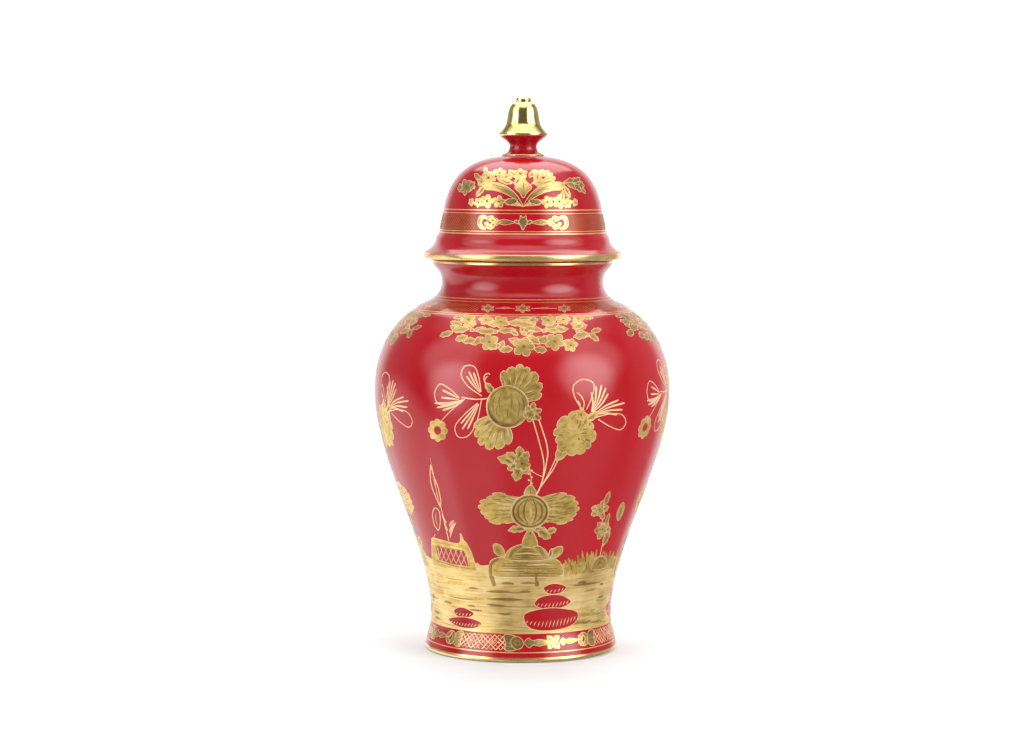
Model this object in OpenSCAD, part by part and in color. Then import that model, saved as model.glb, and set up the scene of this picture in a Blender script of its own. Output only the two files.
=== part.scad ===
// Covered porcelain ginger jar. A baluster jar stands on its foot ring, and a
// domed lid with a bell-shaped knob rests on the jar's lip. A locating collar
// under the lid drops into the mouth. Everything is turned about the Z axis.

/* [Jar] */
// Outer radius of the foot
foot_r = 54.4; // [53:0.1:56]
// Outer radius of the narrow waist above the foot
waist_r = 51.0; // [49:0.1:52]
// Height of the waist
waist_z = 18.5; // [16:0.1:22]
// Outer radius of the belly
belly_r = 83.1; // [78:0.1:88]
// Height of the widest part of the belly
belly_z = 146; // [140:0.1:150]
// Outer radius where the shoulder turns into the neck
shoulder_r = 56.9; // [55.5:0.1:58.5]
// Height where the shoulder turns into the neck
shoulder_z = 194.2; // [192.5:0.1:195.5]
// Outer radius of the neck at its narrowest
neck_r = 45.35; // [44.5:0.05:46]
// Height of the neck's narrowest place
neck_z = 207; // [206:0.1:208]
// Outer radius of the lip
lip_r = 50.8; // [50:0.1:52]
// Height of the lip's top face
lip_z = 219.7; // [219:0.1:221]
// Thickness of the jar wall
jar_wall = 4.5; // [3.5:0.1:5]
// Height of the floor inside the jar
floor_z = 10; // [8:0.1:11]
// Inner radius of the foot ring
foot_ring_r = 47.2; // [46:0.1:48]
// Depth of the hollow under the foot
foot_recess = 3.5; // [2.5:0.1:3.9]

/* [Lid] */
// Radius of the beaded rim of the lid
rim_r = 55.5; // [55:0.1:57]
// Height of the beaded rim
rim_h = 4.2; // [3.6:0.1:4.6]
// Outer radius of the lid wall where the dome starts
dome_r = 46.7; // [45.5:0.1:47.5]
// Height of the dome's start above the lid's underside
dome_h = 16; // [15:0.1:17]
// Height of the dome's top above the lid's underside
crown_h = 57.4; // [55:0.1:60]
// Thickness of the lid wall
lid_wall = 4; // [3:0.1:4.5]
// Air gap drawn between the lid's underside and the jar's lip
seat_gap = 0.3; // [0.2:0.1:0.6]

/* [Locating collar] */
// Air all round between the collar and the mouth
collar_gap = 0.9; // [0.5:0.1:1.5]
// Thickness of the collar
collar_wall = 3.5; // [2.5:0.1:4]
// How far the collar reaches down into the mouth
collar_depth = 12; // [8:0.5:14]

/* [Knob] */
// Radius of the small disc at the foot of the knob
disc_r = 12.3; // [12:0.1:13]
// Radius of the knob's stem
stem_r = 7.75; // [7:0.05:8.5]
// Radius of the knob's flange
flange_r = 14.1; // [13.5:0.1:15]
// Radius of the bell above the flange
bell_r = 9.5; // [9:0.1:10]
// Radius of the button on top
button_r = 4.4; // [4:0.1:5]
// Height of the whole knob
knob_h = 33.4; // [33:0.1:34]

/* [Gilding] */
// Thickness of the fired gold, drawn thick enough to be a solid of its own
gold_t = 0.3; // [0.2:0.05:0.4]

/* [Hidden] */
$fn = 96;

glaze_red = [0.72, 0.11, 0.14];
gold = [0.80, 0.62, 0.28];
white = [0.95, 0.94, 0.91];

// Roundings of the foot's outer edge, the lip and the inside floor
foot_round = 1.6;
lip_round = 0.8;
floor_round = 6;
// Height on the foot up to which the gold edge reaches, and the angle on the
// foot's rounding where it ends, clear of the table
foot_gold_z = 2.7;
foot_gold_end = -45;
// Height of the gold edge on the lip
lip_gold_h = 1.8;
// Slope of the shoulder's tangent, radius against height
shoulder_slope = 1.74;
shoulder_dir = [shoulder_slope, -1] / norm([shoulder_slope, 1]);

mouth_r = neck_r - jar_wall;
lid_z = lip_z + seat_gap;
rim_top_z = lid_z + rim_h;
rim_round = rim_h * 0.38;
dome_z = lid_z + dome_h;
crown_z = lid_z + crown_h;
collar_r = mouth_r - collar_gap;
// Height over which the collar is bonded inside the lid
land_h = 6;
tip_z = crown_z + knob_h;
// Height of the button's foot
button_z = tip_z - 3;

// Points of a cubic curve from a to d with the handles b and c, in n steps
function curve(a, b, c, d, n) =
    [for (i = [0:n]) let (t = i / n, s = 1 - t)
        s * s * s * a + 3 * s * s * t * b + 3 * s * t * t * c + t * t * t * d];

// Points of an arc from angle a0 to a1, in n steps
function arc(centre, r, a0, a1, n) =
    [for (i = [0:n]) let (w = a0 + (a1 - a0) * i / n) centre + r * [cos(w), sin(w)]];

// A path without its first point, to join it to the path that ends there
function rest(path) = [for (i = [1:len(path) - 1]) path[i]];

function reversed(path) = [for (i = [len(path) - 1:-1:0]) path[i]];

// The path moved by t towards the axis side. Paths here run upwards, so that
// the axis lies on their left.
function inset(path, t) =
    [for (i = [0:len(path) - 1])
        let (before = path[max(i - 1, 0)],
             after = path[min(i + 1, len(path) - 1)],
             along = (after - before) / norm(after - before))
        path[i] + t * [-along[1], along[0]]];

// Closed outline of a skin of thickness t on the inner side of a path
function skin(path, t) = concat(path, reversed(inset(path, t)));

module turned(outline) {
    rotate_extrude()
        polygon(outline);
}

// Outer outline of the jar, in stretches from the foot up to the lip

foot_centre = [foot_r - foot_round, foot_round];
foot_under = arc(foot_centre, foot_round, -90, foot_gold_end, 4);
foot_gold = concat(arc(foot_centre, foot_round, foot_gold_end, 0, 5),
                   [[foot_r - 0.3, foot_gold_z]]);
foot_flare = curve([foot_r - 0.3, foot_gold_z],
                   [foot_r - 2.2, 12],
                   [waist_r, waist_z - 6],
                   [waist_r, waist_z], 10);
lower_body = curve([waist_r, waist_z],
                   [waist_r, waist_z + 39.9],
                   [belly_r, belly_z - 40.1],
                   [belly_r, belly_z], 30);
shoulder = [shoulder_r, shoulder_z];
upper_body = curve([belly_r, belly_z],
                   [belly_r, belly_z + 17.7],
                   shoulder + 23.3 * shoulder_dir,
                   shoulder, 22);
neck_turn = curve(shoulder,
                  shoulder - 2 * shoulder_dir,
                  [neck_r, neck_z - 8.9],
                  [neck_r, neck_z], 12);
neck_flare = curve([neck_r, neck_z],
                   [neck_r, neck_z + 5.9],
                   [lip_r - 2.6, lip_z - 6.4],
                   [lip_r, lip_z - lip_gold_h], 10);
lip_gold = concat([[lip_r, lip_z - lip_gold_h]],
                  arc([lip_r - lip_round, lip_z - lip_round], lip_round, 0, 90, 6));

jar_inner_side = inset(concat(lower_body, rest(upper_body), rest(neck_turn)), jar_wall);

// Outer outline of the lid, from its underside up to the crown

rim_centre = [rim_r - rim_round, lid_z + rim_round];
rim_top_centre = [rim_r - rim_round, rim_top_z - rim_round];
rim_gold = concat(arc(rim_centre, rim_round, -90, 0, 6),
                  arc(rim_top_centre, rim_round, 0, 40, 4));
rim_top = arc(rim_top_centre, rim_round, 40, 60, 2);
lid_flare = curve(rim_top[2],
                  [rim_r - 2.6, lid_z + 5.1],
                  [rim_r - 6.1, lid_z + 7.0],
                  [rim_r - 6.6, lid_z + 10.6], 12);
lid_moulding = curve([rim_r - 6.6, lid_z + 10.6],
                     [rim_r - 7.0, lid_z + 13.0],
                     [dome_r + 0.4, dome_z - 2.2],
                     [dome_r, dome_z], 8);
lid_dome = curve([dome_r, dome_z],
                 [dome_r - 3.1, dome_z + 17.8],
                 [disc_r + 29.8, crown_z - 3],
                 [disc_r, crown_z], 26);
lid_inner_side = inset(lid_dome, lid_wall);

// Outer outline of the knob, from the crown of the lid to the tip

knob_foot = concat([[disc_r, crown_z]],
                   arc([disc_r - 0.8, crown_z + 0.4], 0.8, 0, 55, 4));
knob_stem = curve(knob_foot[len(knob_foot) - 1],
                  [stem_r + 1.9, crown_z + 2.0],
                  [stem_r, crown_z + 2.3],
                  [stem_r, crown_z + 5.4], 8);
flange_gold = arc([flange_r - 1.2, crown_z + 12.2], 1.2, -56, 58, 8);
knob_under = curve([stem_r, crown_z + 5.4],
                   [stem_r, crown_z + 7.8],
                   [stem_r + 3.0, crown_z + 8.9],
                   flange_gold[0], 8);
bell_foot = curve(flange_gold[len(flange_gold) - 1],
                  [flange_r - 2.0, crown_z + 14.9],
                  [bell_r + 0.3, crown_z + 17.0],
                  [bell_r, crown_z + 19.8], 9);
bell_side = curve([bell_r, crown_z + 19.8],
                  [bell_r - 0.5, crown_z + 22.2],
                  [bell_r - 0.6, crown_z + 24.2],
                  [bell_r - 1.2, crown_z + 25.9], 6);
bell_top = curve([bell_r - 1.2, crown_z + 25.9],
                 [bell_r - 1.7, crown_z + 27.6],
                 [button_r + 2.5, button_z - 0.9],
                 [button_r - 0.1, button_z], 7);
button = curve([button_r - 0.1, button_z],
               [button_r + 0.5, tip_z - 0.8],
               [button_r - 1.5, tip_z],
               [0, tip_z], 10);
knob_gold = concat(flange_gold, rest(bell_foot), rest(bell_side), rest(bell_top));

// Inner side of the knob's gold, closed on the axis under the button
knob_core = concat(inset(knob_gold, gold_t),
                   [[0, button_z - gold_t]]);

module jar_body() {
    color(glaze_red)
        turned(concat([[0, foot_recess]],
                      curve([foot_ring_r - 2, foot_recess],
                            [foot_ring_r - 0.8, foot_recess],
                            [foot_ring_r - 0.4, 1.2],
                            [foot_ring_r, 0], 6),
                      foot_under,
                      inset(foot_gold, gold_t),
                      foot_flare,
                      rest(lower_body),
                      rest(upper_body),
                      rest(neck_turn),
                      rest(neck_flare),
                      inset(lip_gold, gold_t),
                      [[lip_r - lip_round, lip_z],
                       [mouth_r + lip_round, lip_z]],
                      arc([mouth_r + lip_round, lip_z - lip_round], lip_round, 90, 180, 5),
                      reversed(jar_inner_side),
                      arc([waist_r - jar_wall - floor_round, floor_z + floor_round],
                          floor_round, 0, -90, 8),
                      [[0, floor_z]]));
}

module jar_lip_gilding() {
    color(gold)
        turned(skin(lip_gold, gold_t));
}

module jar_foot_gilding() {
    color(gold)
        turned(skin(foot_gold, gold_t));
}

module lid_shell() {
    color(glaze_red)
        turned(concat([[collar_r, lid_z],
                       rim_gold[0]],
                      inset(rim_gold, gold_t),
                      rim_top,
                      rest(lid_flare),
                      rest(lid_moulding),
                      rest(lid_dome),
                      [[0, crown_z],
                       [0, crown_z - lid_wall]],
                      reversed(lid_inner_side),
                      [[collar_r, lid_z + land_h]]));
}

module lid_collar() {
    bottom_z = lid_z - collar_depth;
    edge = 0.8;
    color(white)
        turned(concat(arc([collar_r - collar_wall + edge, bottom_z + edge], edge, 180, 270, 4),
                      arc([collar_r - edge, bottom_z + edge], edge, -90, 0, 4),
                      [[collar_r, lid_z + land_h],
                       [collar_r - collar_wall, lid_z + land_h]]));
}

module lid_rim_gilding() {
    color(gold)
        turned(skin(rim_gold, gold_t));
}

module lid_finial() {
    color(glaze_red)
        turned(concat([[0, crown_z]],
                      knob_foot,
                      rest(knob_stem),
                      rest(knob_under),
                      knob_core));
}

module finial_gilding() {
    color(gold)
        turned(concat(knob_gold,
                      rest(button),
                      reversed(knob_core)));
}

jar_body();
jar_lip_gilding();
jar_foot_gilding();
lid_shell();
lid_collar();
lid_rim_gilding();
lid_finial();
finial_gilding();
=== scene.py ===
"""Covered ginger jar: red satin glaze with painted gold decoration, around the CAD frame.

The glazed pieces are turned afresh from the CAD outlines, a paint's thickness inside them, and the gold
is thin solid skins lying on that glaze. The decoration is drawn flat, in millimetres along the surface,
and wrapped on to the jar."""

import bisect
import random
from math import ceil, copysign, cos, dist, hypot, pi, radians, sin, sqrt

import bmesh
import bpy
import numpy as np
from mathutils import Matrix, Vector
from mathutils.geometry import delaunay_2d_cdt


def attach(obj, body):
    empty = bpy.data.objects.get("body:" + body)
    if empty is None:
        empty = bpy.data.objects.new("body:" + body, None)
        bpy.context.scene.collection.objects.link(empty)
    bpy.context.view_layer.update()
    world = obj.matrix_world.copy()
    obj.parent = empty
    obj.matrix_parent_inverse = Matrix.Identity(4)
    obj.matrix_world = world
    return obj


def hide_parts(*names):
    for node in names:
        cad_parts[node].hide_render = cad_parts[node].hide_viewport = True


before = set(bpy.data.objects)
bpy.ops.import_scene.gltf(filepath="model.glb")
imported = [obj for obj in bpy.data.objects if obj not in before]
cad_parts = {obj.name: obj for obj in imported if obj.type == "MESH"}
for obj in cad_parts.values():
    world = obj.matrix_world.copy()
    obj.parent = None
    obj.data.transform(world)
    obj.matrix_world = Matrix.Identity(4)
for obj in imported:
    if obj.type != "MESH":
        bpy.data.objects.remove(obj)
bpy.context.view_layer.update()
MM = 0.001
scene = bpy.context.scene

# ---------------------------------------------------------------- outlines of the turned pieces

PAINT = 0.06 * MM  # how far the painted gold stands proud of the glaze
KNOB_PAINT = 0.07 * MM  # the same on the knob
SAME = 0.02 * MM  # rings closer than this are one ring
CORNER = radians(25)  # a sharper turn of an outline than this stays a corner
ROUND = 224  # faces around a turned piece
STEP = 1.5 * MM  # between the rings on the round stretches, where nothing else is said


def outline(node):
    """The (radius, height) points of a turned CAD node, in order along its outline, and if it is closed."""
    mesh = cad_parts[node].data
    keys = []
    label = []
    for v in mesh.vertices:
        p = (hypot(v.co.x, v.co.y), v.co.z)
        for i in range(len(keys) - 1, -1, -1):
            if abs(keys[i][0] - p[0]) < SAME and abs(keys[i][1] - p[1]) < SAME:
                label.append(i)
                break
        else:
            label.append(len(keys))
            keys.append(p)
    near = [set() for _ in keys]
    for e in mesh.edges:
        a, b = (label[i] for i in e.vertices)
        if a != b:
            near[a].add(b)
            near[b].add(a)
    ends = [i for i, n in enumerate(near) if len(n) == 1]
    path = [ends[0] if ends else 0]
    while True:
        onward = [i for i in near[path[-1]] if i not in path]
        if not onward:
            break
        path.append(min(onward))
    return [keys[i] for i in path], not ends


def smoothed(points, closed, step):
    """The outline with more points on its round stretches (a spline through them), and its corners kept."""
    n = len(points)
    pts = [Vector(p) for p in points]

    def at(i):
        return pts[i % n] if closed else pts[min(max(i, 0), n - 1)]

    def turning(i):
        if not closed and i in (0, n - 1):
            return pi
        a, b = at(i) - at(i - 1), at(i + 1) - at(i)
        return abs(a.angle_signed(b)) if a.length and b.length else pi

    corner = [turning(i) > CORNER for i in range(n)]
    out = []
    for i in range(n if closed else n - 1):
        j = (i + 1) % n
        p, q = at(i), at(i + 1)
        length = (q - p).length
        before = (q - p) if corner[i] else (q - at(i - 1)).normalized() * length
        after = (q - p) if corner[j] else (at(i + 2) - p).normalized() * length
        straight = corner[i] and corner[j]
        parts = 1 if straight else max(1, ceil(length / step))
        for k in range(parts):
            t = k / parts
            out.append(
                p * (2 * t**3 - 3 * t**2 + 1)
                + before * (t**3 - 2 * t**2 + t)
                + q * (3 * t**2 - 2 * t**3)
                + after * (t**3 - t**2)
            )
    if not closed:
        out.append(pts[-1])
    return out


def turning_up(points):
    """1 if a closed or axis-to-axis outline runs anticlockwise, with its solid on the left, else -1."""
    after = points[1:] + points[:1]
    return 1 if sum(a.x * b.y - b.x * a.y for a, b in zip(points, after)) > 0 else -1


def inset_outline(points, closed, depth):
    """The outline moved into its solid by depth; points on the axis only move along it."""
    n = len(points)
    side = turning_up(points)
    out = []
    for i, p in enumerate(points):
        a = points[i - 1] if closed or i else p
        b = points[(i + 1) % n] if closed or i < n - 1 else p
        along = (b - a).normalized()
        move = side * depth * Vector((-along.y, along.x))
        if p.x < depth:
            move.x = 0
        out.append(p + move)
    return out


def new_object(name, mesh, body, slot, materials):
    """A new piece that rides a body."""
    obj = bpy.data.objects.new(name, mesh)
    scene.collection.objects.link(obj)
    for m in materials:
        mesh.materials.append(m)
    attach(obj, body)
    return obj


def solid_mesh(name, verts, faces, chosen=None, corner=CORNER):
    """A smooth mesh that keeps its sharp corners; chosen has the material of each face."""
    mesh = bpy.data.meshes.new(name)
    mesh.from_pydata(verts, [], faces)
    if chosen:
        mesh.polygons.foreach_set("material_index", chosen)
    mesh.shade_smooth()
    mesh.set_sharp_from_angle(angle=corner)
    return mesh


def turned(rings, closed, verts, faces):
    """Adds the vertices and faces of what is turned from (radius, height) rings."""
    angles = [2 * pi * k / ROUND for k in range(ROUND)]
    rows = []
    for p in rings:
        start = len(verts)
        if p.x < SAME:
            rows.append([start] * ROUND)
            verts.append((0, 0, p.y))
        else:
            rows.append(range(start, start + ROUND))
            verts += [(p.x * cos(w), p.x * sin(w), p.y) for w in angles]
    down = turning_up(rings) < 0
    for i in range(len(rows) if closed else len(rows) - 1):
        a, b = rows[i], rows[(i + 1) % len(rows)]
        if down:
            a, b = b, a
        for k in range(ROUND):
            m = (k + 1) % ROUND
            faces.append(tuple(dict.fromkeys((a[k], a[m], b[m], b[k]))))


def rings_of(node, step=STEP):
    """The smoothed outline of a turned CAD node, from axis to axis unless it is a ring."""
    points, closed = outline(node)
    if not closed:
        if points[0][0] > SAME:
            points = [(0.0, points[0][1])] + points
        if points[-1][0] > SAME:
            points = points + [(0.0, points[-1][1])]
    return smoothed(points, closed, step), closed


def turn(node, body, slot, materials, depth=0.0, step=STEP, pick=None):
    """Turns a smoother piece from a CAD node's own outline, which then stands for that node.

    depth draws it in; pick gives the material of the faces after each ring."""
    rings, closed = rings_of(node, step)
    if depth:
        rings = inset_outline(rings, closed, depth)
    verts, faces = [], []
    turned(rings, closed, verts, faces)
    chosen = [kind for kind in pick(rings) for _ in range(ROUND)] if pick else None
    obj = new_object(node + "_finish", solid_mesh("turned", verts, faces, chosen), body, slot, materials)
    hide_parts(node)


# ---------------------------------------------------------------- materials


def feed(tree, node, inputs):
    """Sets the inputs of a node to values, or links them to the sockets that feed them."""
    for socket, value in dict(inputs).items():
        if isinstance(value, bpy.types.NodeSocket):
            tree.links.new(value, node.inputs[socket])
        else:
            node.inputs[socket].default_value = value


def maker(tree):
    """A function that adds a node to the tree."""

    def add(kind, inputs=(), **settings):
        node = tree.nodes.new("ShaderNode" + kind)
        for key, value in settings.items():
            setattr(node, key, value)
        feed(tree, node, inputs)
        return node

    return add


def material(name):
    """A new material, and the function that adds nodes to it."""
    m = bpy.data.materials.new(name)
    m.use_nodes = True
    m.node_tree.nodes.clear()
    return m, maker(m.node_tree)


def surfaced(m, add, inputs):
    """The material, with a Principled surface that has these inputs."""
    add("OutputMaterial", {"Surface": add("BsdfPrincipled", inputs).outputs[0]})
    return m


def noise(add, scale, detail, stretch=(1, 1, 1), roughness=0.5):
    """Noise over the piece's own metres: scale is per metre, stretch per axis."""
    where = add("TexCoord").outputs["Object"]
    placed = add("Mapping", {"Vector": where, "Scale": stretch}).outputs[0]
    look = {"Vector": placed, "Scale": scale, "Detail": detail, "Roughness": roughness}
    return add("TexNoise", look).outputs["Fac"]


def ramp(add, value, places, colours):
    """A colour ramp over value."""
    node = add("ValToRGB", {"Fac": value})
    band = node.color_ramp
    while len(band.elements) < len(places):
        band.elements.new(1.0)
    for element, place, colour in zip(band.elements, places, colours):
        element.position = place
        element.color = (*colour, 1)
    return node.outputs["Color"]


def spread(add, value, low, high):
    """The value from 0 to 1, spread from low to high."""
    return add("MapRange", {"Value": value, "To Min": low, "To Max": high}).outputs["Result"]


def bump(add, height, distance, strength):
    """The normal of a surface that is rough by distance, in metres."""
    return add("Bump", {"Height": height, "Distance": distance, "Strength": strength}).outputs["Normal"]


def glaze(name, colours, rough, coat):
    """A satin glaze: a clouded colour and a faint orange-peel surface."""
    m, add = material(name)
    look = {
        "Base Color": ramp(add, noise(add, 22, 4), (0.3, 0.55, 0.75), colours),
        "Roughness": spread(add, noise(add, 60, 3), *rough),
        "Normal": bump(add, noise(add, 90, 1), 0.00008, 0.12),
        "IOR": 1.5,
        "Coat Weight": coat,
        "Coat Roughness": 0.12,
    }
    return surfaced(m, add, look)


def painted_gold(name, colours, metal, rough, across, up):
    """Hand-painted satin gold: brush streaks and thin places in colour, gloss and height.

    The colours go from thin to thick paint; across and up say how fine the streaks are, per metre."""
    m, add = material(name)
    streak = noise(add, 1, 4, stretch=(across, across, up), roughness=0.6)
    both = add("Math", {0: streak, 1: noise(add, 75, 4)}, operation="ADD").outputs[0]
    half = add("Math", {0: both, 1: 0.5}, operation="MULTIPLY").outputs[0]
    look = {
        "Base Color": ramp(add, half, (0.38, 0.5, 0.62), colours),
        "Metallic": metal,
        "Roughness": spread(add, half, *rough),
        "Normal": bump(add, streak, 0.00004, 0.5),
    }
    return surfaced(m, add, look)


def polished_gold(name, colours, rough):
    """Burnished gold on the knob: nearly a mirror, with fine wiping marks."""
    m, add = material(name)
    wipe = noise(add, 1, 5, stretch=(300, 300, 2600), roughness=0.7)
    look = {
        "Base Color": ramp(add, noise(add, 90, 3), (0.35, 0.65), colours),
        "Metallic": 1.0,
        "Roughness": spread(add, wipe, *rough),
        "Normal": bump(add, noise(add, 420, 2), 0.00002, 0.3),
    }
    return surfaced(m, add, look)


RED = glaze(
    "red_glaze", ((0.41, 0.006, 0.0125), (0.38, 0.0052, 0.0108), (0.36, 0.0046, 0.01)), (0.12, 0.17), 0.0
)
WHITE = glaze(
    "white_glaze", ((0.86, 0.86, 0.82), (0.84, 0.83, 0.79), (0.8, 0.8, 0.76)), (0.1, 0.16), 0.2
)
KNOB_GOLD = polished_gold("knob_gold", ((0.84, 0.66, 0.24), (0.9, 0.74, 0.32)), (0.1, 0.16))
GOLDS = {
    row[0]: painted_gold(*row)
    for row in (
        ("edge_gold", ((0.68, 0.43, 0.14), (0.8, 0.54, 0.21), (0.9, 0.66, 0.31)),
         0.8, (0.16, 0.26), 40, 900),
        ("line_gold", ((0.66, 0.42, 0.15), (0.78, 0.53, 0.22), (0.86, 0.63, 0.33)),
         0.6, (0.24, 0.36), 160, 400),
        ("painted_gold", ((0.46, 0.29, 0.065), (0.68, 0.46, 0.12), (0.84, 0.61, 0.21)),
         0.72, (0.3, 0.42), 330, 420),
        # A darker copy of painted_gold for the shoulder: painted shade where the light from above falls
        ("shaded_copy_gold", ((0.29, 0.185, 0.05), (0.42, 0.28, 0.085), (0.56, 0.39, 0.13)),
         0.75, (0.28, 0.42), 330, 420),
        ("burnished_gold", ((0.46, 0.3, 0.09), (0.64, 0.45, 0.15), (0.8, 0.6, 0.25)),
         0.9, (0.2, 0.32), 200, 420),
        # Cream for the fine gold lines and edges: partly their own colour, partly painted highlight
        ("pale_gold", ((0.78, 0.46, 0.22), (0.86, 0.55, 0.3), (0.92, 0.65, 0.4)),
         0.25, (0.34, 0.46), 200, 400),
        ("dark_gold", ((0.13, 0.06, 0.015), (0.19, 0.09, 0.024), (0.27, 0.14, 0.04)),
         0.35, (0.36, 0.5), 120, 700),
        ("shaded_gold", ((0.27, 0.155, 0.04), (0.37, 0.225, 0.065), (0.48, 0.31, 0.1)),
         0.6, (0.32, 0.44), 200, 420),
        ("sand_gold", ((0.6, 0.38, 0.12), (0.84, 0.58, 0.22), (0.95, 0.72, 0.34)),
         0.6, (0.32, 0.44), 60, 800),
    )
}
EDGE_GOLD, LINE_GOLD = GOLDS["edge_gold"], GOLDS["line_gold"]

# The five paints of a painted piece, in the order of the kinds of paint further down. DIM_PAINTS puts a
# darker copy of the main gold on the shoulder, where the light from above falls: painted shade.
PAINTS, DIM_PAINTS, BAND_PAINTS = (
    [GOLDS[name] for name in (main, "pale_gold", "dark_gold", "shaded_gold", "sand_gold")]
    for main in ("painted_gold", "shaded_copy_gold", "burnished_gold")
)


def bisque():
    """The unglazed foot: chalky, speckled and slightly rough."""
    m, add = material("bisque")
    look = {
        "Base Color": ramp(add, noise(add, 1500, 2), (0.3, 0.6), ((0.6, 0.55, 0.47), (0.8, 0.77, 0.7))),
        "Roughness": spread(add, noise(add, 300, 2), 0.75, 0.9),
        "Normal": bump(add, noise(add, 2500, 2), 0.0001, 0.5),
    }
    return surfaced(m, add, look)


BISQUE = bisque()


# ---------------------------------------------------------------- the turned pieces

FOOT_BARE = 0.35 * MM  # below this height the foot is unglazed
RIM_EDGE = 1.4 * MM  # the lid's red glaze goes this far under its rim


def jar_finish(rings):
    """0 red outside, 1 white inside and in the hollow of the foot, 2 bare on the foot's bottom."""
    order = range(len(rings))
    top = max(order, key=lambda k: (round(rings[k].y, 5), rings[k].x))
    low = min(order, key=lambda k: (round(rings[k].y, 5), -rings[k].x))
    kinds = []
    for i, (a, b) in enumerate(zip(rings, rings[1:])):
        outside = min(low, top) <= i < max(low, top)
        bottom = max(a.y, b.y) < FOOT_BARE
        kinds.append(2 if bottom else 0 if outside else 1)
    return kinds


def lid_finish(rings):
    """0 red outside, 1 white on the underside and inside."""
    rim = max(range(len(rings)), key=lambda k: rings[k].x)
    inner = rings[rim].x - RIM_EDGE
    return [0 if i < rim or rings[i].x > inner else 1 for i in range(len(rings) - 1)]


turn("jar_body", "jar", "red_glaze", [RED, WHITE, BISQUE], PAINT, step=2.0 * MM, pick=jar_finish)
turn("lid_shell", "lid", "red_glaze", [RED, WHITE], PAINT, pick=lid_finish)
turn("lid_collar", "lid", "white_glaze", [WHITE])
turn("lid_finial", "lid", "red_glaze", [RED], KNOB_PAINT, step=0.5 * MM)
turn("jar_lip_gilding", "jar", "gilding", [EDGE_GOLD], step=0.3 * MM)
turn("jar_foot_gilding", "jar", "gilding", [EDGE_GOLD], step=0.4 * MM)
turn("lid_rim_gilding", "lid", "gilding", [EDGE_GOLD], step=0.3 * MM)
turn("finial_gilding", "lid", "gilding", [KNOB_GOLD], step=0.4 * MM)


# ---------------------------------------------------------------- painted gold: the drawing tools

# Kinds of paint. Each is a material of the painted pieces, and BARE takes the gold away again. PALE is real
# fine lines and edges of gold, whose cream tone is partly painted highlight.
GOLD, PALE, DARK, SHADE, SAND, BARE = range(6)
SKIN = 0.07 * MM  # thickness of the paint: it reaches a little into the glaze
GRID = 2.3  # mm between the points that bend a filled shape round the jar
FINE = 0.8  # mm between the points of a drawn line
LARGE = 15  # mm2 from which a filled shape needs points inside it
SLIVER = 1e-6  # mm2 below which a triangle is left out
SAME_POINT = 1e-4  # mm within which points of the drawing are one
SAME_STEP = 0.02  # mm within which points of one line are one
SHUT = 0.05  # mm between the ends of a line that goes right round
PAINT_CORNER = radians(40)


class Side:
    """The outer side of a turned piece, unrolled: millimetres up along it, and its radius there."""

    def __init__(self, node, low, high):
        rings, _ = rings_of(node)
        path = [(p.x / MM, p.y / MM) for p in rings]
        widest = max(range(len(path)), key=lambda k: path[k][0])
        ways = path[widest:], path[widest::-1]
        above, below = sorted(ways, key=lambda way: -self.climbing(way, 1)[-1][1])
        whole = self.climbing(below, -1)[:0:-1] + self.climbing(above, 1)
        points = [p for p in whole if low <= p[1] <= high]
        self.points = points
        self.heights = [p[1] for p in points]
        self.length = [0.0]
        for a, b in zip(points, points[1:]):
            self.length.append(self.length[-1] + dist(a, b))

    @staticmethod
    def climbing(path, way):
        """The first stretch of the path that only goes up (way 1) or down (way -1)."""
        out = [path[0]]
        for p in path[1:]:
            if way * (p[1] - out[-1][1]) <= 0:
                break
            out.append(p)
        return out

    @staticmethod
    def between(marks, value):
        """The last mark up to a value, and the share of the way on to the next."""
        i = min(max(bisect.bisect_right(marks, value) - 1, 0), len(marks) - 2)
        return i, (value - marks[i]) / (marks[i + 1] - marks[i])

    def place(self, s):
        """Radius, height and the outward direction at s millimetres up the side."""
        i, t = self.between(self.length, min(max(s, 0.0), self.length[-1]))
        a, b = self.points[i], self.points[i + 1]
        along = Vector((b[0] - a[0], b[1] - a[1])).normalized()
        return a[0] + (b[0] - a[0]) * t, a[1] + (b[1] - a[1]) * t, Vector((along.y, -along.x))

    def up(self, z):
        """Millimetres up the side at a height."""
        i, t = self.between(self.heights, z)
        return self.length[i] + (self.length[i + 1] - self.length[i]) * t

    def at(self, phi, z):
        """The flat place of an angle (degrees, 0 in front, positive to the right) and a height."""
        s = self.up(z)
        return Vector((radians(phi) * self.place(s)[0], s))

    def wrapped(self, p, phi, sink=0.0):
        """The place in space of a flat point, on a sheet whose middle is at phi degrees."""
        radius, z, out = self.place(p[1])
        angle = radians(phi) + p[0] / radius
        radius = radius * MM - out.x * sink
        return (radius * sin(angle), -radius * cos(angle), z * MM - out.y * sink)


# The widths of a stroke along it, as shares of the whole width; t goes from 0 to 1


def even(t):
    return 1.0


def spindle(t):
    return 0.15 + 0.85 * sin(pi * t) ** 0.8


def tip(t):
    return 1.0 - 0.8 * t


def club(t):
    end = 1.0 if t < 0.86 else sqrt(max(0.0, 1 - ((t - 0.86) / 0.15) ** 2))
    return 0.3 + 0.7 * min(1.0, 1.6 * t) * end


def spline(a, b, c, d, step=FINE):
    """The points of a smooth curve from b up to c, on its way from a to d."""
    parts = max(1, ceil((c - b).length / step))
    bent, bent_more = 2 * a - 5 * b + 4 * c - d, 3 * b - a - 3 * c + d
    for k in range(parts):
        t = k / parts
        yield 0.5 * (2 * b + (c - a) * t + bent * t**2 + bent_more * t**3)


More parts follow.
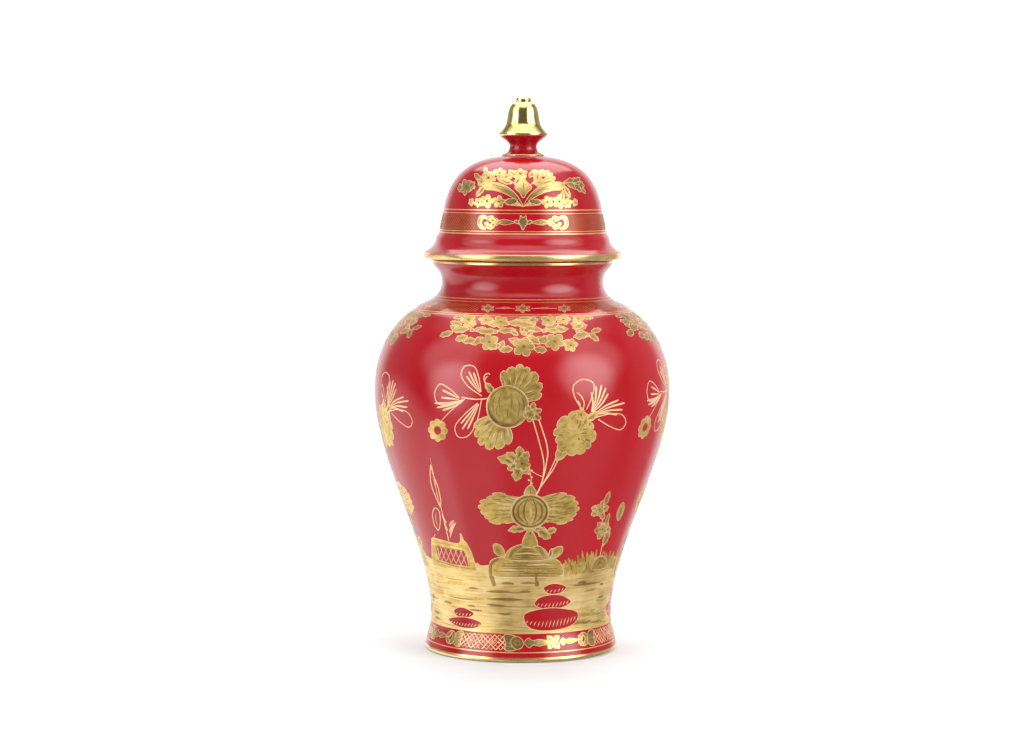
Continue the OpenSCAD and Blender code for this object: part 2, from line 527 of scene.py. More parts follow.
def curl(points, step=FINE):
    """A smooth line through a few points."""
    pts = [Vector(p) for p in points]
    ends = [2 * pts[0] - pts[1]] + pts + [2 * pts[-1] - pts[-2]]
    out = []
    for four in zip(ends, ends[1:], ends[2:], ends[3:]):
        out += spline(*four, step)
    return out + [pts[-1]]


def smooth_ring(ring):
    """A smooth closed outline through the points."""
    out = []
    for i in range(len(ring)):
        out += spline(*(ring[(i + k) % len(ring)] for k in (-1, 0, 1, 2)))
    return out


class Sheet:
    """A flat drawing. Later shapes cover earlier ones."""

    def __init__(self, side, phi, seed):
        self.side, self.phi = side, phi
        self.rng = random.Random(seed)
        self.rings, self.kinds = [], []

    def fill(self, points, kind=GOLD, edge=0.32):
        """A filled shape, with a thin pale edge inside its outline: a lighter rim of paint, partly a
        painted highlight along the edge.
        """
        points = [Vector(p) for p in points]
        self.rings.append(points)
        self.kinds.append(kind)
        if edge:
            self.line(points + points[:1], edge, PALE)

    def line(self, points, width, kind=PALE, shape=even):
        """A line of paint; shape gives its width along it."""
        path = []
        for p in map(Vector, points):
            if not path or (p - path[-1]).length > SAME_STEP:
                path.append(p)
        n = len(path)
        if n < 2:
            return
        left, right = [], []
        closed = (path[0] - path[-1]).length < SHUT
        for i, p in enumerate(path):
            before = path[-2] if closed and i == 0 else path[max(i - 1, 0)]
            after = path[1] if closed and i == n - 1 else path[min(i + 1, n - 1)]
            along = (after - before).normalized()
            half = 0.5 * width * shape(i / (n - 1)) * Vector((-along.y, along.x))
            left.append(p + half)
            right.append(p - half)
        self.rings.append(left + right[::-1])
        self.kinds.append(kind)

    def at(self, phi, z):
        """The flat place of an angle and a height."""
        return self.side.at(phi, z)

    def curl(self, points, width):
        """A smooth pale line of even width through a few points."""
        self.line(curl(points), width, PALE)

    def spot(self, phi, z, turn=0.0, mirror=False):
        """The spot at an angle and a height."""
        return Spot(self, self.at(phi, z), turn, mirror)

    def grid(self):
        """Points inside the larger filled shapes, to bend them by."""
        out = []
        for points in self.rings:
            around = list(zip(points, points[1:] + points[:1]))
            if abs(sum(a.cross(b) for a, b in around)) < 2 * LARGE:
                continue
            left_end = min(p.x for p in points)
            y = min(p.y for p in points) + GRID / 2
            top = max(p.y for p in points)
            while y < top:
                crossing = [(a, b) for a, b in around if (a.y > y) != (b.y > y)]
                cuts = sorted(a.x + (b.x - a.x) * (y - a.y) / (b.y - a.y) for a, b in crossing)
                for left, right in zip(cuts[::2], cuts[1::2]):
                    x = left_end + ceil((left - left_end) / GRID) * GRID
                    count = max(0, int((right - x) / GRID) + 1)
                    out += [Vector((x + k * GRID, y)) for k in range(count)]
                y += GRID
        return out

    def kinds_at(self, centres):
        """The kind of paint at each centre: that of the last shape whose outline goes round it."""
        x, y = centres[:, 0], centres[:, 1]
        found = np.full(len(centres), BARE)
        for ring, kind in zip(self.rings, self.kinds):
            near = np.flatnonzero(
                (x > min(p.x for p in ring)) & (x < max(p.x for p in ring))
                & (y > min(p.y for p in ring)) & (y < max(p.y for p in ring))
            )
            if not len(near):
                continue
            px, py = x[near], y[near]
            turns = np.zeros(len(near), int)
            for a, b in zip(ring, ring[1:] + ring[:1]):
                side = (b.x - a.x) * (py - a.y) - (px - a.x) * (b.y - a.y)
                turns += ((a.y <= py) & (b.y > py) & (side > 0)).astype(int)
                turns -= ((a.y > py) & (b.y <= py) & (side < 0)).astype(int)
            found[near[turns != 0]] = kind
        return found

    def build(self, name, body, paints):
        """Joins the shapes into one skin of paint and wraps it round the piece."""
        verts, edges = [], []
        for ring in self.rings:
            start, n = len(verts), len(ring)
            verts += ring
            edges += [(start + i, start + (i + 1) % n) for i in range(n)]
        points, _, faces, _, _, _ = delaunay_2d_cdt(verts + self.grid(), edges, [], 0, SAME_POINT, False)
        corners = np.array([p[:] for p in points])[np.array(faces)]
        found = self.kinds_at(corners.mean(axis=1))
        one, two = corners[:, 1] - corners[:, 0], corners[:, 2] - corners[:, 0]
        area = one[:, 0] * two[:, 1] - one[:, 1] * two[:, 0]
        keep = np.flatnonzero((found != BARE) & (area > SLIVER))
        tris = [tuple(faces[i]) for i in keep]
        kinds = [int(k) for k in found[keep]]
        used = sorted({i for t in tris for i in t})
        new = {old: k for k, old in enumerate(used)}
        n = len(used)
        verts = [self.side.wrapped(points[i], self.phi) for i in used]
        verts += [self.side.wrapped(points[i], self.phi, SKIN) for i in used]
        tops = [tuple(new[i] for i in t) for t in tris]
        edges = {}
        for t, kind in zip(tops, kinds):
            for a, b in zip(t, t[1:] + t[:1]):
                edges[a, b] = kind
        solid = list(tops) + [(c + n, b + n, a + n) for a, b, c in tops]
        chosen = kinds + kinds
        for (a, b), kind in edges.items():
            if (b, a) not in edges:
                solid.append((b, a, a + n, b + n))
                chosen.append(kind)
        new_object(name, solid_mesh(name, verts, solid, chosen, PAINT_CORNER), body, "gilding", paints)


class Spot:
    """A place on a sheet to draw a motif at: its middle, its turn in degrees, and if it is mirrored.

    Points are given in mm from there, or in shares of the two sizes of a sized spot."""

    def __init__(self, sheet, middle, turn=0.0, mirror=False, sizes=(1.0, 1.0)):
        self.sheet, self.middle, self.turn, self.mirror, self.sizes = sheet, middle, turn, mirror, sizes

    def __call__(self, x, y):
        w = radians(self.turn)
        x, y = x * self.sizes[0], y * self.sizes[1]
        p = Vector((x * cos(w) - y * sin(w), x * sin(w) + y * cos(w)))
        if self.mirror:
            p.x = -p.x
        return self.middle + p

    def polar(self, angle, r):
        """The point at an angle and a distance."""
        return self(r * cos(radians(angle)), r * sin(radians(angle)))

    def arc(self, first, last, r, by=8):
        """Points round the spot from one angle to another."""
        return [self.polar(w, r) for w in range(first, last + 1, by)]

    def ray(self, angle, near, far, width, kind):
        """A straight stroke outwards, between two distances."""
        self.sheet.line([self.polar(angle, near), self.polar(angle, far)], width, kind, spindle)

    def near(self, x, y, turn=0.0):
        """Another spot, moved and turned from this one."""
        return Spot(self.sheet, self(x, y), self.turn + turn, self.mirror)

    def sized(self, length, width):
        """The same spot, with its points in shares of a length along +x and a width."""
        return Spot(self.sheet, self.middle, self.turn, self.mirror, (length, width))

    def stroke(self, width, *points, kind=PALE, shape=spindle):
        """A smooth stroke of the brush through the points."""
        self.sheet.line(curl([self(x, y) for x, y in points]), width, kind, shape)

    def shade(self, width, *points):
        self.stroke(width, *points, kind=SHADE)

    def dark(self, width, *points):
        self.stroke(width, *points, kind=DARK)

    def cane(self, width, *points):
        """A stroke of even width."""
        self.stroke(width, *points, shape=even)

    def shape(self, *points, kind=GOLD, edge=0.32):
        """A filled shape with a smooth outline through the points."""
        self.sheet.fill(smooth_ring([self(x, y) for x, y in points]), kind, edge)


# ---------------------------------------------------------------- painted gold: the motifs

# The numbers in the motifs and compositions are the drawing itself: mm on the sheet, degrees and widths.


def scallop(inside):
    """Height of a scalloped edge, 0 in a notch and 1 on a lobe, with small secondary bumps."""
    return abs(sin(pi * inside)) ** 0.5 * (0.93 + 0.07 * cos(6 * pi * inside))


def uneven(rng, count, amount=0.3):
    """Shares of 1 that differ a little, as running totals from 0 to 1."""
    parts = [1 + rng.uniform(-amount, amount) for _ in range(count)]
    totals = [0.0]
    for part in parts:
        totals.append(totals[-1] + part / sum(parts))
    return totals


def share(marks, i, k, parts):
    """The place k parts on from a mark, of so many parts up to the next mark."""
    return marks[i] + (marks[i + 1] - marks[i]) * k / parts


def fan_leaf(at, length, half_spread, lobes, narrow, foot):
    """A broad scalloped leaf that opens towards +x. It starts at foot mm from where its veins meet."""
    rng = at.sheet.rng
    marks = uneven(rng, lobes)

    def reach(t):
        return length * (1 - (1 - narrow) * abs(2 * t - 1) ** 1.8)

    ring = [at.polar(-half_spread, foot)]
    for lobe in range(lobes):
        deep = rng.uniform(0.12, 0.2) * (1 - foot / length) ** 1.4
        far = 1 + rng.uniform(-0.05, 0.05) * (1 - foot / length)
        for k in range(9):
            t = share(marks, lobe, k, 9)
            edge = far * (1 - deep * (1 - scallop(k / 9)))
            ring.append(at.polar(half_spread * (2 * t - 1), reach(t) * edge))
    ring += [at.polar(half_spread, reach(1) * 0.85), at.polar(half_spread, foot)]
    at.sheet.fill(ring)
    for k in range(1, 2 * lobes):  # a vein to each notch, and one up the middle of each lobe
        notch = k % 2 == 0
        t = share(marks, k // 2, k % 2, 2)
        angle = half_spread * (2 * t - 1)
        start, end = (0.4, 0.86) if notch else (0.48, 0.78)
        start = max(start, (foot + 3) / length)
        bend = angle * 0.92 + rng.uniform(-1.5, 1.5)
        points = [
            at.polar(bend, reach(t) * start),
            at.polar((angle + bend) / 2, reach(t) * (start + end) / 2),
            at.polar(angle, reach(t) * end),
        ]
        at.sheet.line(curl(points), 0.42 if notch else 0.32, SHADE if notch else PALE, spindle)
    for k in range(lobes):
        t = (marks[k] + marks[k + 1]) / 2
        angle = half_spread * (2 * t - 1)
        if rng.random() < 0.6:
            points = [at.polar(angle, reach(t) * 0.82), at.polar(angle + 1.5, reach(t) * 0.93)]
            at.sheet.line(curl(points), 0.8, SHADE, spindle)
    for side in (-1, 1):
        angle = side * half_spread * 0.55
        start, end = max(length * 0.38, foot + 2), max(length * 0.6, foot + 8)
        at.sheet.line(curl([at.polar(angle, start), at.polar(angle * 1.1, end)]), 0.9, SHADE, spindle)


def lobed_leaf(at, wide, tall, lobes):
    """A rounded leaf with lobes all round, its foot towards -x, with veins that spread from there."""
    rng = at.sheet.rng
    leaf = at.sized(wide, tall)
    marks = uneven(rng, lobes, 0.35)
    ring = []
    for lobe in range(lobes):
        deep = rng.uniform(0.1, 0.2)
        far = rng.uniform(0.94, 1.06)
        for k in range(9):
            w = 2 * pi * share(marks, lobe, k, 9) - pi
            r = far * (1 - deep * (1 - scallop(k / 9)))
            ring.append(leaf(r * cos(w), r * sin(w)))
    at.sheet.fill(ring)
    for k in range(26):
        w = rng.uniform(-2.6, 2.6)
        near, far = rng.uniform(0.15, 0.6), rng.uniform(0.12, 0.26)
        points = [(r * cos(w), r * sin(w)) for r in (near, near + far / 2, near + far)]
        leaf.stroke(rng.choice((0.35, 0.5, 0.9)), *points, kind=SHADE if k % 4 else DARK)
    for x, y, far in ((0.45, 0.5, 0.3), (-0.2, -0.55, 0.35), (0.6, -0.35, 0.2)):
        leaf.shade(0.8, (x, y), (x + far / 2, y * 1.05), (x + far, y * 0.9))


def petal(at, length, width, vein=True):
    """A small leaf or petal with a wavy edge that opens from its foot towards +x."""
    rng = at.sheet.rng
    up, down = rng.uniform(0.42, 0.54), rng.uniform(0.42, 0.54)
    leaf = at.sized(length, width)
    leaf.shape(
        (0, 0), (0.22, 0.3), (0.42, up), (0.56, up * 0.74), (0.74, up * 0.86), (0.88, 0.2), (1, 0),
        (0.86, -0.24), (0.7, -down), (0.54, -down * 0.76), (0.36, -down), (0.18, -0.26), edge=0.28,
    )
    leaf.shade(0.32 * width, (0.12, 0.06), (0.4, rng.uniform(-0.16, 0.16)), (0.66, 0.02))
    if vein:
        leaf.dark(0.3, (0.1, 0), (0.5, 0.06), (0.84, 0))


def petals(at, *rows, vein=True):
    """Petals near a spot, each at x, y, turn, length and width."""
    for x, y, turn, length, width in rows:
        petal(at.near(x, y, turn), length, width, vein)


def blossom(at, r, count=5):
    """A small flower: uneven petals about a dark eye."""
    rng = at.sheet.rng
    start = rng.uniform(0, 360)
    marks = uneven(rng, count, 0.22)
    ring = []
    for k in range(count):
        far = rng.uniform(0.86, 1.08)
        for j in range(8):
            bulge = sin(pi * j / 8) ** 0.5 * (0.94 + 0.06 * cos(4 * pi * j / 8))
            ring.append(at.polar(start + 360 * share(marks, k, j, 8), r * (0.52 + 0.48 * bulge * far)))
    at.sheet.fill(ring, GOLD, 0.28)
    for k in range(count):
        at.ray(start + 360 * (marks[k] + marks[k + 1]) / 2, r * 0.15, r * 0.75, 0.22 * r, SHADE)
        at.ray(start + 360 * marks[k], r * 0.2, r * 0.66, 0.4, DARK)
    disc(at, r * 0.17, DARK, 0)


def disc(at, r, kind=GOLD, edge=0.28, squash=1, parts=18):
    """A round spot of paint; squash is its height to its width."""
    angles = [2 * pi * k / parts for k in range(parts)]
    at.sheet.fill([at(r * cos(w), squash * r * sin(w)) for w in angles], kind, edge)


def fruit(at, r):
    """The big round flower head, shaded with curved brush strokes and a dark crescent at its lower left."""
    disc(at, r * 1.04, GOLD, 0.34, parts=40)
    for w0, w1, far, wide, kind in (
        (135, 325, 0.88, 0.17, SHADE), (165, 310, 0.93, 0.12, DARK),
        (-15, 95, 0.93, 0.06, SHADE), (95, 165, 0.93, 0.05, DARK),
    ):
        at.sheet.line(at.arc(w0, w1, r * far), r * wide, kind, spindle)
    # Strokes that follow the roundness
    for x, y, tall, bend, wide, kind in (
        (-0.58, 0.1, 0.4, -0.14, 0.13, SHADE), (-0.28, 0.2, 0.42, -0.12, 0.06, SHADE),
        (0.06, -0.3, 0.3, -0.05, 0.05, SHADE), (0.16, 0.3, 0.4, 0.05, 0.11, SHADE),
        (0.46, 0, 0.52, 0.12, 0.07, SHADE), (0.68, 0.1, 0.34, 0.12, 0.12, SHADE),
        (-0.44, -0.2, 0.26, -0.1, 0.03, DARK),
    ):
        at.sized(r, r).stroke(
            r * wide, (x, y + tall), (x + bend, y + 0.4 * tall), (x + bend, y - 0.3 * tall),
            (x + 0.4 * bend, y - tall), kind=kind,
        )


def ribbed_fruit(at, r):
    """The round fruit with upright ribs, a bright middle and a dark ring."""
    disc(at, r * 1.08, GOLD, 0.32, parts=44)
    at.sheet.line(at.arc(0, 360, r * 0.95), r * 0.1, DARK)
    ball = at.sized(r, r)
    for wide, thick, kind in (
        (0.7, 0.13, SHADE), (0.66, 0.05, DARK), (0.36, 0.12, SHADE), (0.34, 0.055, DARK)
    ):
        for side in (-1, 1):
            x, end = side * wide, side * 0.10
            ball.stroke(
                r * thick, (end, 0.86), (x * 0.84, 0.42), (x, 0), (x * 0.84, -0.42), (end, -0.86), kind=kind
            )
    ball.stroke(r * 0.14, (0, -0.4), (0.04, 0), (0, 0.45), kind=SAND)
    ball.shade(r * 0.12, (-0.12, 0.64), (0, 0.8), (0.12, 0.64))


def plume(at, length, width, strokes, lean=0):
    """A feathery loop of fine pale lines that opens from its foot towards +x; lean mm puts it aside."""
    at = at.sized(length, width)
    lean /= width
    at.cane(
        0.5, (0, 0), (0.45, 0.42 + lean), (0.82, 0.5 + lean), (1, 0.08 + lean), (0.86, lean - 0.42),
        (0.5, lean * 0.6 - 0.34), (0.12, -0.06),
    )
    for k in range(strokes):
        side = (k - (strokes - 1) / 2) / strokes
        end = (0.80 - 0.25 * abs(side), side * 0.72 + lean)
        at.stroke(0.95, (0.12, side * 0.1), (0.42, side * 0.42 + lean * 0.7), end, shape=club)


def bead_ring(at, r):
    """A ring of small round beads about a bare middle."""
    disc(at, r, GOLD, 0.24, parts=24)
    for angle in range(0, 360, 45):
        disc(Spot(at.sheet, at.polar(angle, r * 0.82)), r * 0.36, GOLD, 0.24, parts=12)
    disc(at, r * 0.42, BARE, 0, parts=12)
    at.sheet.line(at.arc(0, 360, r * 0.46, 24), 0.28, DARK)


def brush_marks(sheet, phis, heights, count):
    """Loose strokes of the brush round the jar."""
    rng = sheet.rng
    for _ in range(count):
        phi = rng.uniform(*phis)
        z = rng.uniform(*heights)
        middle = sheet.at(phi, z)
        half = rng.uniform(4, 13)
        lift = rng.uniform(-0.7, 0.7)
        limits = [sheet.at(w, z).x for w in phis]
        x0, x1 = max(middle.x - half, limits[0] + 0.6), min(middle.x + half, limits[1] - 0.6)
        if x1 - x0 < 2:
            continue
        points = [(x0, middle.y), ((x0 + x1) / 2, middle.y + lift), (x1, middle.y + lift * 0.3)]
        wide = rng.choice((0.5, 0.8, 1.2, 1.7))
        sheet.line(curl(points, 1.6), wide, rng.choice((SHADE, GOLD, GOLD, SHADE, GOLD)), spindle)


def rock(at, w, h, lined=True):
    """A rock left bare in the gold: a pale outline, and slanting pale lines across its lower half."""
    blunt = 0.8 if h > 10 else 1.2
    points = []
    for k in range(20):
        a = 2 * pi * k / 20
        bumpy = 1 + 0.035 * sin(3 * a + w) + 0.02 * sin(5 * a + h)
        across, up = cos(a), copysign(abs(sin(a)) ** blunt, sin(a))
        points.append(at(across * w / 2 * bumpy, up * h / 2 * bumpy))
    ring = smooth_ring(points)
    at.sheet.fill(ring, BARE, 0)
    if not lined:
        return
    at.sheet.line(ring + ring[:1], 0.42, PALE)
    count = max(4, int(w / 2.1))
    for k in range(1, count):
        x = -w / 2 + w * k / count
        round_off = sqrt(max(0, 1 - (2 * x / w) ** 2))
        y = -h * 0.42 * round_off + 0.06 * h
        tall = h * (0.22 + 0.2 * k / count) * round_off
        slant = [at(x - 0.5, y), at(x + 0.1, y + tall * 0.5), at(x + 0.8, y + tall)]
        at.sheet.line(slant, 0.5, PALE, spindle)


def lattice(sheet, box, pitch, width, kind=PALE):
    """Crossing fine lines in a panel; box is x0, y0, x1, y1 on the sheet."""
    x0, y0, x1, y1 = box
    tall = y1 - y0
    for sign in (-1, 1):
        x = x0 - tall
        while x < x1 + tall:
            a, b = (x, y0), (x + tall, y1)
            if sign < 0:
                a, b = (x, y1), (x + tall, y0)
            t0 = max(0, (x0 - a[0]) / tall)
            t1 = min(1, (x1 - a[0]) / tall)
            if t1 - t0 > 0.08:
                line = [(a[0] + tall * t, a[1] + (b[1] - a[1]) * t) for t in (t0, (t0 + t1) / 2, t1)]
                sheet.line(line, width, kind)
            x += pitch


def scroll(at, size):
    """A leafy C-scroll that opens towards +x."""
    whole = at.sized(size, size)
    whole.shape(
        (0.1, 0.62), (0.5, 0.66), (0.62, 0.45), (0.36, 0.4), (0.16, 0.2), (0.14, -0.1), (0.34, -0.36),
        (0.62, -0.3), (0.6, -0.58), (0.24, -0.68), (-0.14, -0.52), (-0.3, -0.1), (-0.26, 0.34),
    )
    whole.shade(0.2 * size, (-0.12, 0.3), (-0.16, -0.1), (0.05, -0.45))
    disc(whole.near(0.62, 0.1), 0.2 * size, GOLD, 0.24, parts=12)
    disc(whole.near(0.56, -0.14), 0.13 * size, DARK, 0, parts=8)


def tapered_leaf(at, length, width):
    """A long leaf on a thin stalk, pointing towards +x, with two barbs at its foot."""
    leaf = at.sized(length, width)
    leaf.shape(
        (0, 0.1), (0.16, 0.5), (0.3, 0.22), (0.55, 0.34), (1, 0.03), (0.55, -0.34), (0.3, -0.22),
        (0.16, -0.5), (0, -0.1), edge=0.24,
    )
    leaf.shade(0.3, (0.1, 0), (0.5, 0.02), (0.8, 0))


def dark_fan(at, w, h):
    """The shaded fan at a panel's end, open towards +x."""
    fan = at.sized(w, h)
    fan.shape(
        (-0.5, 0.5), (0.1, 0.52), (0.42, 0.34), (0.5, 0), (0.42, -0.34), (0.1, -0.52), (-0.5, -0.5),
        (-0.42, 0),
    )
    for y, width in ((0.26, 0.2), (0, 0.3), (-0.26, 0.2)):
        fan.shade(h * width * 0.6, (-0.36, y), (0, y * 0.9), (0.25, y * 0.6))


# ---------------------------------------------------------------- painted gold: the compositions

JAR_SIDE = Side("jar_body", 2.7, 217)
LID_SIDE = Side("lid_shell", 224, 277)
KNOB_SIDE = Side("lid_finial", 277.6, 286)
GROUND_LOW, GROUND_TOP = 15.5, 53.5  # heights of the painted ground
GARLAND_LIFT = 1.8  # the whole garland, up from where it was drawn
BOUQUET_FOOT = 249.3


def garden(sheet):
    """The main motif, which the jar carries four times: a round fruit on a rock, with flowers above it."""
    # Stems first, so that the flowers cover their ends
    root, fork = sheet.at(6.2, 95), sheet.at(8.6, 104)
    sheet.curl([root, (root + fork) / 2 + Vector((0.4, 0)), fork], 0.8)
    for phi0, phi1, phi2 in ((3.4, 7, 8.7), (5.6, 9.6, 9.6)):
        line = [fork, sheet.at(phi2, 112), sheet.at(phi1, 122), sheet.at(phi0, 139)]
        sheet.curl(line, 0.62)
    for shift in (0, 1.1):
        line = [root + Vector((0.6, 2)), fork + Vector((1.6 + shift * 0.4, 0))]
        line += [sheet.at(12.0 + shift, 110.5), sheet.at(14.0 + shift, 118)]
        sheet.curl(line, 0.55)

    # Big flower with its leaves, plumes, tendril and blossom
    head = sheet.spot(-5.6, 143.5)
    plumes = head.near(-10.5, 4.4, 180)
    plumes.cane(0.6, (0, 0), (7, 0.6), (15, -0.2))
    plume(plumes.near(3.4, -1.2, -63), 18.5, 9.6, 3, lean=0.8)
    plume(plumes.near(14.5, 1.2, -11), 17.5, 11.4, 2, lean=-0.3)
    for angle, far in ((9, 19), (17, 18), (26, 15)):
        plumes.near(13, 0.8, angle).stroke(0.95, (0, 0), (far * 0.5, 0.8), (far, 0), shape=club)
    plume(plumes.near(3.5, 0.5, 55), 25, 10, 3, lean=0.5)
    bead_ring(sheet.spot(-34.2, 129.3), 5.4)
    stalk = sheet.at(-33, 133.4)
    sheet.curl([stalk, plumes(21.5, 7.5), plumes(14.5, 2)], 0.4)
    fan_leaf(head.near(0.6, 1.6, 58), 23, 50, 7, narrow=0.74, foot=4)
    fan_leaf(head.near(-1.2, -1.2, 244), 25, 42, 6, narrow=0.7, foot=4)
    curl_end = head.near(-8.2, 8.2, 130)
    petal(curl_end.near(-1.5, 0), 7.4, 4)
    curl_end.cane(0.5, (5.4, 0.2), (7.8, -0.6), (9.3, -2.4), (9, -4.3), (7.8, -4.9))
    curl_end.stroke(0.4, (6.8, -0.7), (7.9, -2.2), (7.6, -3.6))
    fruit(head, 11)
    blossom(head.near(12.6, -3.4), 4.6)
    for angle in (-30, 20, 75):
        petal(head.near(12.6, -3.4, angle).near(2, 0), 4.2, 2.8, vein=False)
    blossom(head.near(12.2, -3.6), 2.6, 4)

    # Leaf with plumes at the right
    feather = sheet.spot(26.5, 138.5)
    plume(feather.near(-3.5, 1, 92), 18.5, 13, 0)
    for angle, far in ((88, 11.5), (77, 15), (66, 16.5), (55, 16.5), (43, 15)):
        feather.near(0, 0.8, angle).stroke(1, (1, 0), (far * 0.5, -0.8), (far, 0.3), shape=club)
    for angle, far in ((24, 18.5), (15, 22), (6, 20), (-2, 16)):
        feather.near(1, 0, angle).stroke(0.95, (0.5, 0), (far * 0.5, 1), (far, 0), shape=club)
    plume(feather.near(2, -1.4, -12), 22, 9, 0)
    feather.cane(0.6, (-5.5, 2), (-4.2, 6.5), (-6, 10.5), (-8.4, 12.6))
    feather.cane(0.6, (-6.4, 3), (-6.6, 6), (-8, 8))
    leaf = sheet.spot(14.4, 115.6, 60)
    leaf.shape(
        (-1.6, -0.4), (1, -2.4), (6, -3.2), (10, -3.6), (12, 0), (10, 3.6), (6, 3.2), (1, 2.4), (-1.6, 0.4)
    )
    lobed_leaf(leaf.near(16.1, -1.8), 12.6, 12, 11)
    leaf.shade(0.5, (0.5, 0), (4, 0.2), (8, 0))
    petal(feather.near(-2.5, -2.6, 30), 8.5, 5)
    blossom(feather.near(-6, 0.4), 3.4, 5)

    # Little flower between them
    small = sheet.spot(-0.6, 112.5)
    sheet.curl([small(2, -2), small(8.5, -6), fork + Vector((0.2, 1))], 0.4)
    for angle, far, wide in (
        (165, 12, 5.6), (140, 9, 4.8), (95, 9, 5.6), (60, 7, 4.6), (205, 7, 4.4), (255, 9.5, 5.8),
        (300, 6, 4),
    ):
        petal(small.near(0, 0, angle).near(1, 0), far, wide)
    blossom(small.near(0.8, 0), 4.6, 6)

    # The upright fruit with its two broad leaves
    low = sheet.spot(3.7, 85.4)
    fan_leaf(low.near(24, 0.2, 178), 53, 13.6, 7, narrow=0.8, foot=31)
    fan_leaf(low.near(-24, 0.2, 2), 53, 13.6, 7, narrow=0.8, foot=31)
    petals(
        low, (-1, -9.6, 190, 11, 5), (1, -9.8, -14, 9, 4.8), (4, -11.4, -34, 9, 5.4),
        (9.5, -12.8, 20, 5.5, 4.2), (-1.2, -13.5, 70, 6, 3), (1.2, -13.5, 110, 6, 3),
    )
    low.shape(
        (-4, -21), (4, -21), (2.6, -14), (1.4, -12.4), (3.2, -9.6), (-3.2, -9.6), (-1.4, -12.4), (-2.6, -14)
    )
    disc(low.near(0.2, -13.2), 0.55, DARK, 0, 1.7, parts=10)
    disc(low.near(2.6, -10.4), 0.5, DARK, 0, 0.6, parts=10)
    low.shape((-2.7, 8.6), (-2.9, 12.5), (0.1, 16.2), (3, 12.5), (2.6, 8.6))
    low.dark(0.3, (0, 10), (0.2, 12.5), (0, 15))
    low.cane(0.45, (0, 15.5), (0.5, 20), (-0.3, 24), (-0.5, 28))
    for k in range(6):
        disc(low.near(0.75 * (-1) ** k, 17.0 + 1.9 * k), 0.62, PALE, 0, parts=8)
    ribbed_fruit(low, 9.6)


def ground(sheet, phis):
    """The painted ground with a loose upper edge and brushed marks."""
    rng = sheet.rng
    first, last = phis
    edge = []
    steps = 26
    for k in range(steps + 1):
        t = k / steps
        lift = 0 if k in (0, steps) else rng.uniform(-0.7, 0.7) + 0.8 * sin(9 * t)
        edge.append(sheet.at(first + (last - first) * t, GROUND_TOP + lift))
    top = [edge[0]] + curl(edge[1:-1], 1.4) + [edge[-1]]
    rise = [GROUND_LOW + (GROUND_TOP - GROUND_LOW) * k / 18 for k in range(19)]
    right = [sheet.at(last, z) for z in rise[:-1]]
    left = [sheet.at(first, z) for z in reversed(rise[1:-1])]
    bottom = [sheet.at(first + (last - first) * k / 30, GROUND_LOW) for k in range(30)]
    sheet.fill(bottom + right + top[::-1] + left, SAND, 0)
    sheet.line(top, 0.34, PALE)
    brush_marks(sheet, phis, (GROUND_LOW + 1, GROUND_TOP - 1.5), 18)
    for _ in range(3):
        dab = sheet.spot(rng.uniform(first + 6, last - 6), rng.uniform(GROUND_LOW + 12, GROUND_TOP - 8))
        far = rng.uniform(1.2, 4.5)
        dab.shade(rng.uniform(1.3, 1.9), (-far, 0), (0, 0.2), (far, -0.1))


